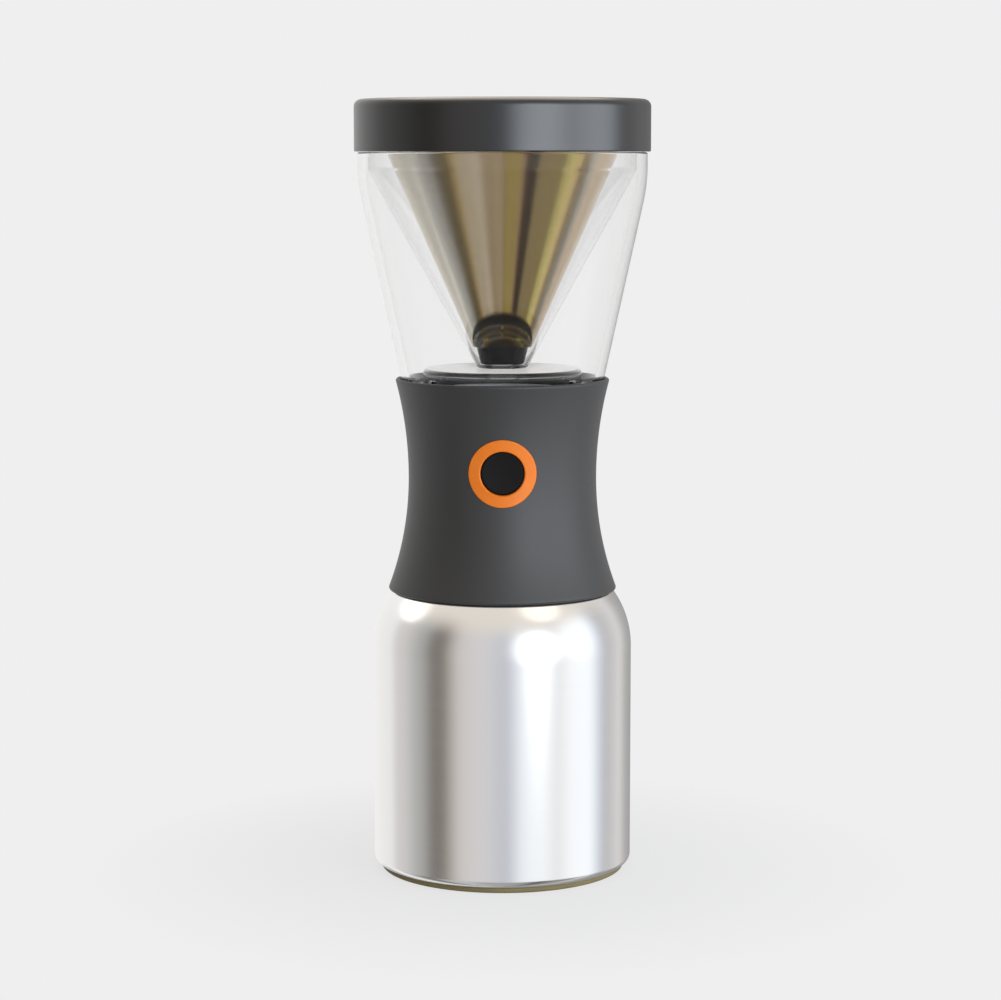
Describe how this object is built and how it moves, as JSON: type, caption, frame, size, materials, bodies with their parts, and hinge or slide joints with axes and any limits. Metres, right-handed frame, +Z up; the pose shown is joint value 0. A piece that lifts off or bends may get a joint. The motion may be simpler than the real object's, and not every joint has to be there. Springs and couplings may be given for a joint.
{
  "type": "cold brew coffee maker",
  "caption": "Cold brew coffee maker: clear chamber with a mesh cone filter on a waisted collar whose push button opens a drain valve into a vacuum-walled steel carafe.",
  "frame": {"origin": "centre of the carafe's base, on the table", "axes": "+Z up along the maker's axis, -Y towards the push button, +X to the right seen from the button's side"},
  "size_m": [0.137, 0.137, 0.3599],
  "materials": {
    "lid_plastic": "satin moulded",
    "seal_silicone": "matte",
    "clear_chamber": "clear polished",
    "clear_funnel": "clear polished",
    "gold_mesh": "fine woven mesh, gold tone",
    "dark_plastic": "moulded",
    "black_plastic": "moulded",
    "collar_rubber": "smooth soft touch",
    "orange_plastic": "satin moulded",
    "button_plastic": "fine matte",
    "white_plastic": "moulded",
    "spring_steel": "drawn wire",
    "white_silicone": "matte",
    "screw_steel": "plain",
    "carafe_steel": "fine brushed round the axis",
    "liner_steel": "plain",
    "base_rubber": "matte, olive"
  },
  "bodies": {
    "carafe": {"carafe_outer_wall": "carafe_steel", "carafe_inner_liner": "liner_steel", "carafe_mouth_ring": "carafe_steel", "carafe_base_cap": "base_rubber"},
    "brewer": {"brewing_chamber": "clear_chamber", "collar_sleeve": "collar_rubber", "collar_core": "dark_plastic", "chamber_gasket": "seal_silicone", "button_ring": "orange_plastic", "button_guide": "dark_plastic", "button_spring": "spring_steel", "valve_seat": "white_silicone", "valve_spring": "spring_steel", "valve_box": "dark_plastic", "stem_seal": "seal_silicone", "drain_spout": "white_plastic", "neck_socket": "dark_plastic", "neck_seal": "seal_silicone", "housing_screws": "screw_steel"},
    "funnel": {"drip_funnel": "clear_funnel"},
    "filter": {"filter_cone": "gold_mesh", "filter_rim": "dark_plastic", "filter_tip_cap": "black_plastic"},
    "lid": {"lid_cap": "lid_plastic", "lid_seal": "seal_silicone"},
    "button": {"button_cap": "button_plastic", "button_slider": "white_plastic"},
    "valve": {"valve_plug": "seal_silicone", "valve_stem": "white_plastic"}
  },
  "joints": [
    {"name": "brewer_lift", "type": "slide", "parent": "carafe", "child": "brewer", "axis": [0, 0, 1], "range_m": [0, 0.06]},
    {"name": "funnel_lift", "type": "slide", "parent": "brewer", "child": "funnel", "axis": [0, 0, 1], "range_m": [0, 0.13]},
    {"name": "filter_lift", "type": "slide", "parent": "funnel", "child": "filter", "axis": [0, 0, 1], "range_m": [0, 0.115]},
    {"name": "lid_lift", "type": "slide", "parent": "filter", "child": "lid", "axis": [0, 0, 1], "range_m": [0, 0.06]},
    {"name": "button_press", "type": "slide", "parent": "brewer", "child": "button", "axis": [0, 1, 0], "range_m": [0, 0.004], "stiffness_N_per_m": 400, "springref_m": -0.004, "deforming": ["button_spring"]},
    {"name": "valve_lift", "type": "slide", "parent": "brewer", "child": "valve", "axis": [0, 0, 1], "range_m": [0, 0.004], "stiffness_N_per_m": 150, "springref_m": -0.004, "deforming": ["valve_spring"]}
  ],
  "couplings": [
    {"joint": "valve_lift", "follows": "button_press", "ratio": 1}
  ]
}
